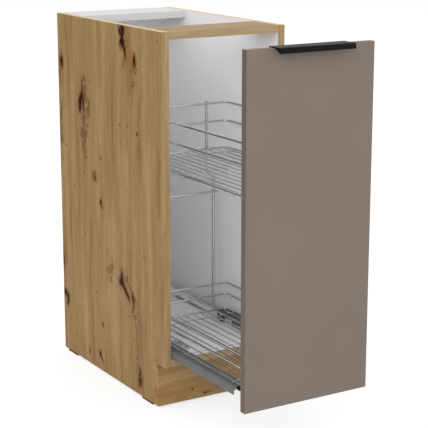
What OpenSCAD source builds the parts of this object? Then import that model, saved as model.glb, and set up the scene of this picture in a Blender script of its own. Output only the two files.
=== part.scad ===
// Base cabinet with a pull-out front that carries two welded wire baskets on telescopic slides.
// Lengths in millimetres, +Z up, floor at Z = 0, drawn with the front pulled out by open_out.

/* [Carcass] */
// Width over the two side panels
cab_w = 300; // [260:5:400]
// Depth of the carcass, front edge to rear edge
cab_d = 500; // [450:1:600]
// Height of the side panels, without the glides
side_h = 816; // [760:1:900]
// Thickness of every board
board_t = 16; // [15:1:18]
// Thickness of the rear hardboard panel
back_t = 3; // [2.5:0.5:4]
// Width of the rebate that takes the rear panel
rebate_w = 8; // [6:1:10]
// Thickness of the edge bands
band_t = 1; // [0.5:0.5:2]
// Height of the toe space, side bottom to the underside of the bottom panel
toe_h = 97; // [80:1:150]
// Setback of the plinth board from the carcass front
toe_d = 30; // [20:1:60]
// Width of the two top rails, front to rear
rail_w = 96; // [80:1:120]
// Distance of the rear top rail from the rear edge of the carcass
rear_rail_set = 11; // [5:1:40]
// Height of the floor glides
glide_h = 4; // [3:1:8]
// Length of one floor glide
glide_l = 50; // [40:1:60]
// Centre of the front glides behind the carcass front
glide_front = 80.5; // [76:0.5:120]
// Centre of the rear glides before the carcass rear edge
glide_rear = 42.5; // [30:0.5:80]

/* [Joinery] */
// Diameter of the wooden dowels
dowel_d = 8; // [6:1:8]
// Length of the wooden dowels
dowel_l = 30; // [25:1:35]
// Part of a dowel that sits in the side panel
dowel_in = 10; // [8:0.5:11]
// Diameter of the cam housings
cam_d = 15; // [12:0.5:16]
// Depth of the cam housings
cam_h = 12; // [10:0.5:13]
// Distance of a cam centre from the end of its board
cam_set = 24; // [20:1:34]
// Shank diameter of the cam bolts
bolt_d = 6; // [5:0.5:7]
// Depth of the bolt thread in the side panel
bolt_in = 11; // [9:0.5:12]
// Distance of the bottom panel's cams from its front and rear edges
deck_cam_set = 40; // [30:5:60]
// Distance of the bottom panel's dowels from the slides' seats
deck_dowel_gap = 16; // [12:1:60]
// Distance of a rail's dowels from its centre line
rail_dowel_set = 32; // [24:1:38]
// Nails along each side of the rear panel
nail_n = 6; // [4:1:10]

/* [Front] */
// Height of the front panel
front_h = 713; // [600:1:760]
// Thickness of the front panel
front_t = 16; // [16:1:22]
// Gap between the front panel and each side of the cabinet
front_reveal = 2; // [1:0.5:4]
// Gap from the carcass top down to the top of the front panel
front_top_gap = 4; // [2:0.5:10]
// Gap between the closed front panel and the carcass
front_gap = 2.4; // [2.2:0.1:4]
// Distance that the front is pulled out in the drawn pose
open_out = 297; // [200:1:400]
// Thickness of the round bumpers on the rear of the front panel
bumper_t = 2; // [1:0.1:2.1]

/* [Handle] */
// Length of the edge pull
grip_l = 174.4; // [120:0.1:240]
// Reach of the edge pull in front of the front panel
grip_reach = 21.8; // [16:0.1:30]
// Drop of the lip below the top of the front panel
grip_drop = 9.3; // [7:0.1:14]
// Thickness of the flange on top of the front panel
grip_t = 2; // [1.5:0.1:3]
// Thickness of the leg behind the front panel
grip_leg_t = 1.6; // [1:0.1:1.8]
// Height of the leg behind the front panel
grip_leg_h = 24; // [18:1:40]
// Thickness of the lip at its lower edge
lip_t = 1.8; // [1.2:0.1:4]
// Radius of the finger hollow under the lip
grip_r = 45; // [30:1:80]
// Radius of the upper front corner of the lip
nose_r = 5; // [2:0.5:8]

/* [Slides] */
// Distance of the closed slides from the carcass front
slide_set = 51; // [48:1:60]
// Distance of the closed slides from the rear edge of the carcass
slide_rear = 9; // [6:1:40]
// Width of a slide lying flat
slide_w = 28; // [27:0.5:29]
// Height of a slide lying flat
slide_h = 12.7; // [12.4:0.1:14]
// Sheet thickness of the slide members
member_t = 1.2; // [1:0.1:1.3]
// Sheet thickness of the ball cages
cage_t = 0.6; // [0.5:0.1:0.7]
// Running clearance inside a slide
run = 0.3; // [0.2:0.05:0.35]
// Diameter of the steel balls
ball_d = 3.2; // [3:0.1:3.3]
// Balls in one row of a cage
ball_n = 8; // [4:1:10]
// Length of a ball cage
cage_l = 170; // [120:1:200]
// Height of the seats that carry the slides above the bottom panel
seat_h = 6.1; // [5.5:0.1:10]
// Sheet thickness of the seats
seat_t = 1.5; // [1.2:0.1:1.8]
// Length of one seat
seat_l = 46; // [30:1:60]
// Distance of the front seats' centres from the slides' front ends
seat_front = 60; // [50:1:90]
// Distance of the rear seats' centres from the slides' rear ends
seat_rear = 70; // [60:1:100]

/* [Carriers] */
// Width of a carrier channel
carrier_w = 32.5; // [32:0.5:36]
// Sheet thickness of a carrier channel
carrier_t = 1.2; // [1:0.1:1.4]
// Outer bend radius of a carrier channel
carrier_r = 2.4; // [1.6:0.1:3]
// Gap between a carrier channel and the side panel
carrier_gap = 1.5; // [1:0.1:4]
// Gap between the lower edges of a carrier channel and the bottom panel
carrier_clear = 2.3; // [2:0.1:3]
// Overhang of a carrier channel in front of its slide
carrier_front = 4; // [4:0.5:8]
// Overhang of a carrier channel behind its slide
carrier_rear = 1; // [0:0.5:3]
// Diameter of the support rollers at the carrier's rear
roller_d = 9.4; // [8:0.1:10]
// Width of the support rollers
roller_w = 3; // [2:0.1:3.2]
// Gap between a support roller and the bottom panel
roller_clear = 0.3; // [0.2:0.05:0.5]

/* [Baskets] */
// Diameter of the rim wires
rim_d = 5; // [4:0.5:6]
// Diameter of the floor wires and cross wires
wire_d = 3; // [2.5:0.1:4]
// Bend radius of the rims at their corners
rim_r = 12; // [8:1:30]
// Gap between a rim's centre line and the side panel
rim_side = 12.5; // [10:0.5:20]
// Distance of the closed baskets' rear rim wires from the rear edge of the carcass
basket_rear = 14.9; // [14:0.1:40]
// Number of floor wires
wire_n = 12; // [6:1:16]
// Gap between the outermost floor wires and the rims' side wires
wire_side = 11.5; // [8:0.5:20]
// Gap between the ends of the floor wires and the rims' centre lines
wire_gap = 7; // [5:0.5:12]
// Distance of the rearmost cross wire from the rear rim wire
cross_rear = 31; // [20:1:50]
// Distance of the foremost cross wire from the front rim wire
cross_front = 60; // [59:1:90]
// Overhang of the cross wires beyond the rims' centre lines
cross_over = 3; // [0:0.5:4]
// Height of the lower basket's middle rim above its base rim
low_mid = 36; // [25:1:60]
// Height of the lower basket's top rim above its base rim
low_top = 63; // [50:1:120]
// Height of the upper basket's base rim above the floor
high_z = 527; // [400:1:620]
// Height of the upper basket's middle rim above its base rim
high_mid = 62; // [40:1:80]
// Height of the upper basket's top rim above its base rim
high_top = 104; // [85:1:140]

/* [Rear frame] */
// Diameter of the rear uprights
post_d = 7; // [5:0.5:7]
// Distance of the uprights from the rims' side wires below their jog
post_low_in = 31.5; // [24:0.5:60]
// Distance of the uprights from the rims' side wires above their jog
post_high_in = 50; // [32:0.5:70]
// Height of the upper bend of the jog below the upper base rim
jog_top = 52; // [40:1:90]
// Height of the jog itself
jog_h = 14; // [8:1:40]
// Drop of the crossbar below the upper base rim
bar_drop = 100; // [80:1:200]
// Rise of the uprights above the top rim
post_rise = 5; // [3:0.5:15]

/* [Front brackets] */
// Width of the brackets on the front panel
brace_w = 20; // [16:1:30]
// Thickness of the brackets on the front panel
brace_t = 4; // [3:0.5:5]
// Distance of the brackets from the rims' side wires
brace_in = 16.5; // [14:0.5:30]
// Thickness of the foot that joins a bracket to its carrier channel
foot_t = 2; // [1.5:0.1:2.4]
// Length of the foot over the carrier channel
foot_lap = 13; // [12:1:15]

/* [Hidden] */
$fn = 48;

// Heights above the floor
deck_z = glide_h + toe_h;
deck_top = deck_z + board_t;
top_z = glide_h + side_h;
slide_z = deck_top + seat_h;
carrier_top = slide_z + slide_h + carrier_t;
cross_z = carrier_top + wire_d / 2;
low_z = cross_z + wire_d / 2 + rim_d / 2;
front_top = top_z - front_top_gap;
front_bottom = front_top - front_h;
ball_z = 6.9;

// Places across the cabinet, left side as drawn
inner_x = cab_w / 2 - board_t;
carrier_x = inner_x - carrier_gap - carrier_w / 2;
rim_x = inner_x - rim_side;
brace_x = rim_x - brace_in;
post_low_x = rim_x - post_low_in;
post_high_x = rim_x - post_high_in;
plinth_rear = toe_d + board_t;

// Places along the depth, closed front, measured from the carcass front edge
front_back = -front_gap;
brace_back = front_back + brace_t;
rim_front = brace_back + rim_d / 2;
rim_rear = cab_d - basket_rear;
post_y = rim_rear + rim_d / 2 + post_d / 2;
deck_rear = cab_d - back_t;
slide_l = cab_d - slide_set - slide_rear;
seat_places = [slide_set + seat_front, slide_set + slide_l - seat_rear];
reach = open_out + front_gap + front_t + grip_reach;
front_y = (reach - cab_d) / 2;

// Travel shares of the telescopic members
middle_share = 0.5;
cage_outer_share = 0.25;
cage_inner_share = 0.75;

oak = "#b08a58";
white = "#e8e8e6";
taupe = "#85786c";
steel = "#8a8c8f";
chrome = "#c4c8cc";
black = "#2c2c2c";
grey = "#a9abad";
pale_wood = "#d8c39a";
eps = 0.01;

// Placing of fixed pieces and of pieces that travel by a share of the pull-out
module fixed() { translate([0, front_y, 0]) children(); }
module moved(share) { translate([0, front_y - open_out * share, 0]) children(); }
module right_hand() { mirror([1, 0, 0]) children(); }
module both_hands() {
    children();
    right_hand() children();
}

// Outline in Y and Z, extruded along X from x0
module plate_x(x0, t) { translate([x0, 0, 0]) rotate([90, 0, 90]) linear_extrude(height = t) children(); }
// Outline in X and Z, extruded along Y from y0
module bar_y(y0, l) { translate([0, y0 + l, 0]) rotate([90, 0, 0]) linear_extrude(height = l) children(); }
module rod_x(x0, x1, y, z, d) { translate([x0, y, z]) rotate([0, 90, 0]) cylinder(d = d, h = x1 - x0); }
module rod_y(x, y0, y1, z, d) { translate([x, y0, z]) rotate([-90, 0, 0]) cylinder(d = d, h = y1 - y0); }
module block(x0, x1, y0, y1, z0, z1) { translate([x0, y0, z0]) cube([x1 - x0, y1 - y0, z1 - z0]); }

// Round shank or hole about Z, from down below Z = 0 to up above it
module drill(d, down, up) { translate([0, 0, -down]) cylinder(d = d, h = down + up); }

// Pan-head screw along -Z with its head seated on Z = 0 and a crossed recess
module pan_screw(d, l) {
    head_d = d * 2.1;
    head_h = d * 0.6;
    slot = d * 0.3;
    difference() {
        cylinder(d = head_d, h = head_h);
        translate([0, 0, head_h]) cube([head_d * 0.6, slot, head_h], center = true);
        translate([0, 0, head_h]) cube([slot, head_d * 0.6, head_h], center = true);
    }
    drill(d, l, 0);
}

// Joinery of the boards: depth places of cams and of dowels on each board end
deck_cams = [deck_cam_set, deck_rear - deck_cam_set];
deck_dowels = [
    seat_places[0] + seat_l / 2 + deck_dowel_gap,
    seat_places[1] - seat_l / 2 - deck_dowel_gap
];
rail_front_mid = rail_w / 2;
rail_rear_mid = cab_d - rear_rail_set - rail_w / 2;
deck_mid_z = deck_z + board_t / 2;
rail_mid_z = top_z - board_t / 2;
cam_places = [
    [deck_cams[0], deck_mid_z], [deck_cams[1], deck_mid_z],
    [rail_front_mid, rail_mid_z], [rail_rear_mid, rail_mid_z]
];
dowel_places = [
    [deck_dowels[0], deck_mid_z], [deck_dowels[1], deck_mid_z],
    [rail_front_mid - rail_dowel_set, rail_mid_z], [rail_front_mid + rail_dowel_set, rail_mid_z],
    [rail_rear_mid - rail_dowel_set, rail_mid_z], [rail_rear_mid + rail_dowel_set, rail_mid_z]
];
cam_x = -inner_x + cam_set;
cam_bore_d = bolt_d + 1;
bolt_head_h = 4;
cam_slot_l = 8;
cam_slot_w = 1.4;
cam_clear = 0.3;
screw_d = 3;
screw_in = 12;
angle_drop = 45;
angle_z = deck_z - angle_drop;
angle_leg = 26;
angle_w = 18;
angle_t = 2;
glide_pin_d = 3;
glide_pin_h = 8;
glide_pin_gap = 26;
glide_places = [glide_front, cab_d - glide_rear];

module dowel_holes() {
    for (p = dowel_places) rod_x(-inner_x - dowel_in, -inner_x + dowel_l - dowel_in, p[0], p[1], dowel_d);
}
module bolt_holes() {
    for (p = cam_places) {
        rod_x(-inner_x - bolt_in, -inner_x + eps, p[0], p[1], bolt_d);
        rod_x(-inner_x, cam_x, p[0], p[1], cam_bore_d);
        translate([cam_x, p[0], p[1] - board_t / 2 - eps]) cylinder(d = cam_d, h = cam_h + eps);
    }
}
module glide_pins() {
    for (y = glide_places, s = [-1, 1]) {
        translate([-cab_w / 2 + board_t / 2, y + s * glide_pin_gap / 2, glide_h - eps])
            cylinder(d = glide_pin_d, h = glide_pin_h + eps);
    }
}

// Places of the nails in the rear panel: X, Z
nail_d = 1.6;
nail_l = 18;
nail_head_d = 4;
nail_head_h = 1;
nail_x = inner_x + rebate_w / 2;
nail_edge = 40;
nail_step = (side_h - toe_h - 2 * nail_edge) / (nail_n - 1);
nail_places = [
    for (i = [0:nail_n - 1]) [-nail_x, deck_z + nail_edge + i * nail_step],
    [-inner_x / 2, deck_mid_z]
];
module nail_shape() {
    translate([0, cab_d, 0]) rotate([90, 0, 0]) cylinder(d = nail_head_d, h = nail_head_h);
    translate([0, cab_d, 0]) rotate([90, 0, 0]) cylinder(d = nail_d, h = nail_l);
}
module nails() { for (p = nail_places) translate([p[0], 0, p[1]]) nail_shape(); }

// Screws of the plinth angles, left side
module plinth_screw_places() {
    translate([-inner_x + angle_t, plinth_rear + angle_leg * 0.6, angle_z]) rotate([0, 90, 0]) children();
    translate([-inner_x + angle_leg * 0.6, plinth_rear + angle_t, angle_z]) rotate([-90, 0, 0]) children();
}

module side_board() {
    difference() {
        plate_x(-cab_w / 2, board_t) polygon([
            [band_t, deck_z], [band_t, top_z], [cab_d, top_z], [cab_d, glide_h], [plinth_rear, glide_h],
            [plinth_rear, deck_z]
        ]);
        block(-inner_x - rebate_w, -inner_x + 1, cab_d - back_t, cab_d + 1, deck_z, top_z + 1);
        dowel_holes();
        bolt_holes();
        glide_pins();
        nails();
        plinth_screw_places() drill(screw_d, screw_in, 0);
    }
}
module side_left() { color(oak) fixed() side_board(); }
module side_right() { color(oak) fixed() right_hand() side_board(); }

module bottom_panel() {
    color(white) fixed() difference() {
        block(-inner_x, inner_x, band_t, deck_rear, deck_z, deck_top);
        both_hands() {
            dowel_holes();
            bolt_holes();
            nails();
            seat_screw_places() drill(screw_d, screw_in, 0);
        }
        damper_screw_places() drill(screw_d, screw_in, 0);
    }
}

module back_panel() {
    color(white) fixed() difference() {
        block(-inner_x - rebate_w, inner_x + rebate_w, deck_rear, cab_d, deck_z, top_z);
        both_hands() nails();
    }
}

module top_rail(y0, y1) {
    difference() {
        block(-inner_x, inner_x, y0, y1, top_z - board_t, top_z);
        both_hands() {
            dowel_holes();
            bolt_holes();
        }
    }
}
module top_rail_front() { color(oak) fixed() top_rail(band_t, rail_w); }
module top_rail_rear() {
    color(white) fixed() top_rail(rail_rear_mid - rail_w / 2, rail_rear_mid + rail_w / 2);
}

module plinth() {
    color(oak) fixed() difference() {
        block(-cab_w / 2, cab_w / 2, toe_d, plinth_rear, glide_h, deck_z);
        both_hands() plinth_screw_places() drill(screw_d, screw_in, 0);
    }
}

module edge_bands() {
    color(oak) fixed() {
        both_hands() block(-cab_w / 2, -inner_x, 0, band_t, deck_z, top_z);
        block(-inner_x, inner_x, 0, band_t, deck_z, deck_top);
        block(-inner_x, inner_x, 0, band_t, top_z - board_t, top_z);
    }
}

module glides() {
    color(black) fixed() both_hands() {
        for (y = glide_places) translate([-cab_w / 2 + board_t / 2, y, 0]) {
            block(-board_t / 2, board_t / 2, -(glide_l - board_t) / 2, (glide_l - board_t) / 2, 0, glide_h);
            for (s = [-1, 1]) {
                translate([0, s * (glide_l - board_t) / 2, 0]) cylinder(d = board_t, h = glide_h);
            }
        }
        glide_pins();
    }
}

module dowels() { color(pale_wood) fixed() both_hands() dowel_holes(); }

module cam_locks() {
    color(grey) fixed() both_hands() for (p = cam_places) {
        difference() {
            translate([cam_x, p[0], p[1] - board_t / 2]) cylinder(d = cam_d, h = cam_h);
            rod_x(cam_x - cam_d, cam_x + cam_clear, p[0], p[1], cam_bore_d + 2 * cam_clear);
            translate([cam_x, p[0], p[1] - board_t / 2]) {
                cube([cam_slot_l, cam_slot_w, cam_slot_w * 2], center = true);
                cube([cam_slot_w, cam_slot_l, cam_slot_w * 2], center = true);
            }
        }
    }
}

module cam_bolts() {
    color(steel) fixed() both_hands() for (p = cam_places) {
        rod_x(-inner_x - bolt_in, cam_x - bolt_head_h, p[0], p[1], bolt_d);
        rod_x(cam_x - bolt_head_h, cam_x, p[0], p[1], cam_bore_d);
    }
}

module back_nails() { color(steel) fixed() both_hands() nails(); }

module plinth_angles() {
    color(steel) fixed() both_hands() difference() {
        union() {
            block(-inner_x, -inner_x + angle_t, plinth_rear, plinth_rear + angle_leg,
                angle_z - angle_w / 2, angle_z + angle_w / 2);
            block(-inner_x, -inner_x + angle_leg, plinth_rear, plinth_rear + angle_t,
                angle_z - angle_w / 2, angle_z + angle_w / 2);
        }
        plinth_screw_places() drill(screw_d, angle_t + 1, 1);
    }
}

module plinth_screws() {
    color(steel) fixed() both_hands() plinth_screw_places() pan_screw(screw_d, screw_in);
}

// Seats of the slides: flat steel tubes on the bottom panel, open to the screws from above
seat_w = slide_w - 4;
seat_hole_d = 8;
module seat_screw_places() {
    for (y = seat_places, s = [-1, 1]) {
        translate([-carrier_x, y + s * seat_l / 4, deck_top + seat_t]) children();
    }
}
module seat_section() {
    translate([-carrier_x - seat_w / 2, deck_top]) difference() {
        square([seat_w, seat_h]);
        translate([seat_t, seat_t]) square([seat_w - 2 * seat_t, seat_h - 2 * seat_t]);
    }
}
module slide_seats() {
    difference() {
        for (y = seat_places) bar_y(y - seat_l / 2, seat_l) seat_section();
        seat_screw_places() {
            drill(screw_d, seat_t, 1);
            translate([0, 0, seat_h - seat_t]) drill(seat_hole_d, seat_t + 1, 1);
        }
    }
}
module slide_seats_left() { color(steel) fixed() slide_seats(); }
module slide_seats_right() { color(steel) fixed() right_hand() slide_seats(); }
module seat_screws() {
    color(steel) fixed() {
        both_hands() seat_screw_places() pan_screw(screw_d, screw_in);
        damper_screw_places() pan_screw(screw_d, screw_in);
    }
}

// Soft-close housing beside the left carrier, with a slot that takes the catch of the carrier
damper_x0 = -carrier_x + carrier_w / 2 + 5.2;
damper_w = 34.8;
damper_y0 = 42;
damper_l = 50;
damper_h = 10;
damper_r = 5;
slot_w = 6;
slot_x = damper_x0 + 5.3;
slot_l = 38;
slot_floor = 2.5;
ear_w = 14;
ear_h = 3;
ear_screw = 9;
port_d = 5;
module damper_screw_places() {
    for (y = [damper_y0 + ear_screw, damper_y0 + damper_l - ear_screw]) {
        translate([damper_x0 + damper_w - ear_w / 2, y, deck_top + ear_h]) children();
    }
}
module rounded_block(x0, y0, z0, w, l, h, r) {
    translate([x0 + r, y0, z0]) cube([w - 2 * r, l, h]);
    translate([x0, y0 + r, z0]) cube([w, l - 2 * r, h]);
    for (x = [x0 + r, x0 + w - r], y = [y0 + r, y0 + l - r]) translate([x, y, z0]) cylinder(r = r, h = h);
}
module damper_housing() {
    color(grey) fixed() difference() {
        union() {
            rounded_block(damper_x0, damper_y0, deck_top, damper_w, damper_l, ear_h, damper_r);
            rounded_block(damper_x0, damper_y0, deck_top, damper_w - ear_w, damper_l, damper_h, damper_r);
        }
        block(slot_x - slot_w / 2, slot_x + slot_w / 2, damper_y0 - 1, damper_y0 + slot_l,
            deck_top + slot_floor, deck_top + damper_h + 1);
        translate([slot_x + slot_w + port_d / 2, damper_y0 + damper_l / 2, deck_top + ear_h]) {
            cylinder(d = port_d, h = damper_h);
        }
        damper_screw_places() drill(screw_d, ear_h + 1, 1);
    }
}

// Telescopic slide, lying flat: half sections around the ball rows, at Z above the slide's underside
race_r = ball_d / 2 + run;
row_1 = slide_w / 2 - member_t - race_r;
groove = 0.4;
middle_wall = 1.8;
middle_out = row_1 - race_r + groove;
row_2 = middle_out - middle_wall + groove - 0.1 - race_r;
inner_out = row_2 - race_r + groove - 0.1;
inner_wall = 1.5;
web_1 = member_t + run;
web_2 = web_1 + cage_t + run;
web_3 = web_2 + member_t + run;
wall_3 = web_3 + cage_t + run;
middle_top = ball_z + race_r + 1.4;
inner_web = 20;

module arc_wedge(a0, a1) {
    far = 8;
    am = (a0 + a1) / 2;
    polygon([[0, 0], far * [cos(a0), sin(a0)], far * [cos(am), sin(am)], far * [cos(a1), sin(a1)]]);
}
module curl(row, a0, a1) {
    translate([row, ball_z]) intersection() {
        difference() {
            circle(r = race_r + member_t);
            circle(r = race_r);
        }
        arc_wedge(a0, a1);
    }
}
module both_halves() {
    children();
    mirror([1, 0]) children();
}
module outer_section() {
    lower = row_1 + (race_r + member_t) * cos(50);
    translate([-lower, 0]) square([2 * lower, member_t]);
    both_halves() {
        translate([lower - member_t, 0]) square([member_t, ball_z - race_r]);
        curl(row_1, -52, 70);
    }
}
module middle_section() {
    middle_in = middle_out - middle_wall;
    difference() {
        translate([-middle_out, web_2]) square([2 * middle_out, middle_top - web_2]);
        translate([-middle_in, web_2 + member_t]) square([2 * middle_in, middle_top]);
        both_halves() {
            translate([row_1, ball_z]) circle(r = race_r);
            translate([row_2, ball_z]) circle(r = race_r);
        }
    }
}
module inner_section() {
    inner_in = inner_out - inner_wall;
    web_4 = slide_h - member_t;
    difference() {
        polygon([
            [-inner_web / 2, slide_h], [-inner_web / 2, web_4], [-inner_out, web_4], [-inner_out, wall_3],
            [-inner_in, wall_3], [-inner_in, web_4], [inner_in, web_4], [inner_in, wall_3],
            [inner_out, wall_3], [inner_out, web_4], [inner_web / 2, web_4], [inner_web / 2, slide_h]
        ]);
        both_halves() translate([row_2, ball_z]) circle(r = race_r);
    }
}
module cage_section(row, web) {
    half = row + cage_t / 2;
    translate([-half, web]) square([2 * half, cage_t]);
    both_halves() translate([row - cage_t / 2, web]) square([cage_t, ball_z + 1.4 - web]);
}
module member(y0, l) { translate([-carrier_x, 0, slide_z]) bar_y(y0, l) children(); }
// Each cage starts at the middle of its members, which share half of their length when fully out
cage_set = slide_set + slide_l / 2 - cage_l / 2;
cage_end = 10;
ball_step = (cage_l - 2 * cage_end) / (ball_n - 1);
module ball_row(row, d) {
    for (i = [0:ball_n - 1], s = [-1, 1]) {
        translate([-carrier_x + s * row, cage_set + cage_end + i * ball_step, slide_z + ball_z]) {
            sphere(d = d, $fn = 32);
        }
    }
}
module cage(row, web) {
    difference() {
        member(cage_set, cage_l) cage_section(row, web);
        ball_row(row, ball_d);
    }
    ball_row(row, ball_d);
}

module slide_outer_left() { color(steel) fixed() member(slide_set, slide_l) outer_section(); }
module slide_outer_right() { color(steel) fixed() right_hand() member(slide_set, slide_l) outer_section(); }
module cage_outer_left() { color(steel) moved(cage_outer_share) cage(row_1, web_1); }
module cage_outer_right() { color(steel) moved(cage_outer_share) right_hand() cage(row_1, web_1); }
module slide_middle_left() { color(steel) moved(middle_share) member(slide_set, slide_l) middle_section(); }
module slide_middle_right() {
    color(steel) moved(middle_share) right_hand() member(slide_set, slide_l) middle_section();
}
module cage_inner_left() { color(steel) moved(cage_inner_share) cage(row_2, web_3); }
module cage_inner_right() { color(steel) moved(cage_inner_share) right_hand() cage(row_2, web_3); }
module slide_inner_left() { color(steel) moved(1) member(slide_set, slide_l) inner_section(); }
module slide_inner_right() { color(steel) moved(1) right_hand() member(slide_set, slide_l) inner_section(); }

// Plastic end caps on the front of the inner members
cap_w = 15;
cap_z = 1.6;
cap_taper = 4.5;
cap_side = 3;
module cap_section() {
    polygon([
        [-cap_w / 2, slide_h - member_t],
        [-cap_w / 2, slide_h - member_t - cap_side],
        [-cap_w / 2 + cap_taper, cap_z],
        [cap_w / 2 - cap_taper, cap_z],
        [cap_w / 2, slide_h - member_t - cap_side],
        [cap_w / 2, slide_h - member_t]
    ]);
}
module slide_caps() {
    color(black) moved(1) both_hands() member(slide_set - carrier_front, carrier_front) cap_section();
}

// Carrier: a channel folded from sheet that lies over its slide and bears the lower basket
carrier_low = deck_top + carrier_clear;
carrier_y0 = slide_set - carrier_front;
carrier_l = slide_l + carrier_front + carrier_rear;
window_back = 64;
window_l = 32;
window_h = 11;
window_y0 = slide_set + slide_l - window_back;
roller_back = 22;
roller_y = slide_set + slide_l - roller_back;
roller_z = deck_top + roller_clear + roller_d / 2;
roller_side = 0.3;
roller_pin_d = 3;
roller_bore_d = 3.16;
pin_head_d = 6;
pin_head_h = 0.8;
web_hole_d = 4.5;
web_hole_end = 105;
web_hole_y = [slide_set + web_hole_end, slide_set + slide_l - web_hole_end];
web_hole_z = 8;
module channel_outline(w, h, r) {
    translate([-w / 2, 0]) square([w, h - r]);
    translate([-w / 2 + r, h - r - eps]) square([w - 2 * r, r + eps]);
    for (s = [-1, 1]) translate([s * (w / 2 - r), h - r]) circle(r = r);
}
module carrier_section() {
    h = carrier_top - carrier_low;
    inner_w = carrier_w - 2 * carrier_t;
    translate([-carrier_x, carrier_low]) difference() {
        channel_outline(carrier_w, h, carrier_r);
        translate([0, -eps]) channel_outline(inner_w, h - carrier_t + eps, carrier_r - carrier_t);
    }
}
rivet_d = 4;
rivet_head_d = 7;
rivet_head_h = 0.7;
module carrier_screw_places() {
    translate([-brace_x, carrier_y0 + foot_lap / 2, carrier_top + foot_t]) children();
}
module carrier() {
    difference() {
        bar_y(carrier_y0, carrier_l) carrier_section();
        block(-carrier_x + carrier_w / 2 - carrier_t - 1, -carrier_x + carrier_w / 2 + 1,
            window_y0, window_y0 + window_l, carrier_low - 1, carrier_low + window_h);
        for (y = web_hole_y) {
            rod_x(-carrier_x - carrier_w / 2 - 1, -carrier_x - carrier_w / 2 + carrier_t + 1,
                y, carrier_low + web_hole_z, web_hole_d);
        }
        rod_x(-carrier_x + carrier_w / 2 - carrier_t - 1, -carrier_x + carrier_w / 2 + 1,
            roller_y, roller_z, roller_pin_d);
        carrier_screw_places() drill(rivet_d, foot_t + carrier_t + 1, 1);
    }
}
module carrier_left() { color(steel) moved(1) carrier(); }
module carrier_right() { color(steel) moved(1) right_hand() carrier(); }

// Catch on the left carrier: a folded tab whose finger runs in the slot of the soft-close housing
catch_y = damper_y0 + 15;
catch_w = 15;
catch_t = 1.5;
catch_drop = 3;
catch_clear = 2;
module damper_catch() {
    x0 = -carrier_x + carrier_w / 2;
    color(black) moved(1) {
        top = carrier_top - catch_drop;
        block(x0, x0 + catch_t, catch_y, catch_y + catch_w, carrier_low + catch_drop, top);
        block(x0, slot_x + catch_t / 2, catch_y, catch_y + catch_w, top - catch_t, top);
        block(slot_x - catch_t / 2, slot_x + catch_t / 2, catch_y, catch_y + catch_w,
            deck_top + slot_floor + catch_clear, top);
    }
}

module roller_pins() {
    x0 = -carrier_x + carrier_w / 2;
    x1 = x0 + roller_w + 2 * roller_side;
    color(steel) moved(1) both_hands() {
        rod_x(x0 - carrier_t, x1, roller_y, roller_z, roller_pin_d);
        rod_x(x1, x1 + pin_head_h, roller_y, roller_z, pin_head_d);
    }
}
module roller() {
    x0 = -carrier_x + carrier_w / 2 + roller_side;
    difference() {
        rod_x(x0, x0 + roller_w, roller_y, roller_z, roller_d);
        rod_x(x0 - 1, x0 + roller_w + 1, roller_y, roller_z, roller_bore_d);
    }
}
module roller_left() { color(black) moved(1) roller(); }
module roller_right() { color(black) moved(1) right_hand() roller(); }

// Wire baskets
cross_pitch = (rim_rear - rim_front - cross_rear - cross_front) / 2;
cross_places = [for (i = [0:2]) rim_rear - cross_rear - i * cross_pitch];
wire_pitch = 2 * (rim_x - wire_side) / (wire_n - 1);
module rim(z) {
    x = rim_x;
    for (s = [-1, 1]) rod_y(s * x, rim_front + rim_r, rim_rear - rim_r, z, rim_d);
    for (y = [rim_front, rim_rear]) rod_x(-x + rim_r, x - rim_r, y, z, rim_d);
    for (c = [[1, 1, 0], [-1, 1, 90], [-1, -1, 180], [1, -1, 270]]) {
        y = c[1] > 0 ? rim_rear - rim_r : rim_front + rim_r;
        translate([c[0] * (x - rim_r), y, z]) rotate([0, 0, c[2]]) {
            rotate_extrude(angle = 90) translate([rim_r, 0]) circle(d = rim_d);
        }
    }
}
module basket_floor(z) {
    cross = z - rim_d / 2 - wire_d / 2;
    for (y = cross_places) rod_x(-rim_x - cross_over, rim_x + cross_over, y, cross, wire_d);
    for (i = [0:wire_n - 1]) {
        x = (i - (wire_n - 1) / 2) * wire_pitch;
        rod_y(x, rim_front + wire_gap, rim_rear - wire_gap, cross + wire_d, wire_d);
    }
}
module lower_floor() { color(chrome) moved(1) basket_floor(low_z); }
module lower_base_rim() { color(chrome) moved(1) rim(low_z); }
module lower_middle_rim() { color(chrome) moved(1) rim(low_z + low_mid); }
module lower_top_rim() { color(chrome) moved(1) rim(low_z + low_top); }
module upper_floor() { color(chrome) moved(1) basket_floor(high_z); }
module upper_base_rim() { color(chrome) moved(1) rim(high_z); }
module upper_middle_rim() { color(chrome) moved(1) rim(high_z + high_mid); }
module upper_top_rim() { color(chrome) moved(1) rim(high_z + high_top); }

// Rear uprights with their jog, and the crossbar between them
jog_z1 = high_z - jog_top;
jog_z0 = jog_z1 - jog_h;
post_top = high_z + high_top + post_rise;
post_foot = low_z - rim_d / 2;
module rear_upright() {
    run_x = post_low_x - post_high_x;
    slope = atan2(run_x, jog_h);
    translate([-post_low_x, post_y, post_foot]) cylinder(d = post_d, h = jog_z0 - post_foot);
    translate([-post_low_x, post_y, jog_z0]) sphere(d = post_d);
    translate([-post_low_x, post_y, jog_z0]) rotate([0, slope, 0]) {
        cylinder(d = post_d, h = sqrt(run_x * run_x + jog_h * jog_h));
    }
    translate([-post_high_x, post_y, jog_z1]) sphere(d = post_d);
    translate([-post_high_x, post_y, jog_z1]) cylinder(d = post_d, h = post_top - jog_z1);
}
module rear_upright_left() { color(chrome) moved(1) rear_upright(); }
module rear_upright_right() { color(chrome) moved(1) right_hand() rear_upright(); }
module rear_crossbar() {
    half = post_low_x + post_d;
    color(chrome) moved(1) rod_x(-half, half, rim_rear, high_z - bar_drop, rim_d);
}

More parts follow.
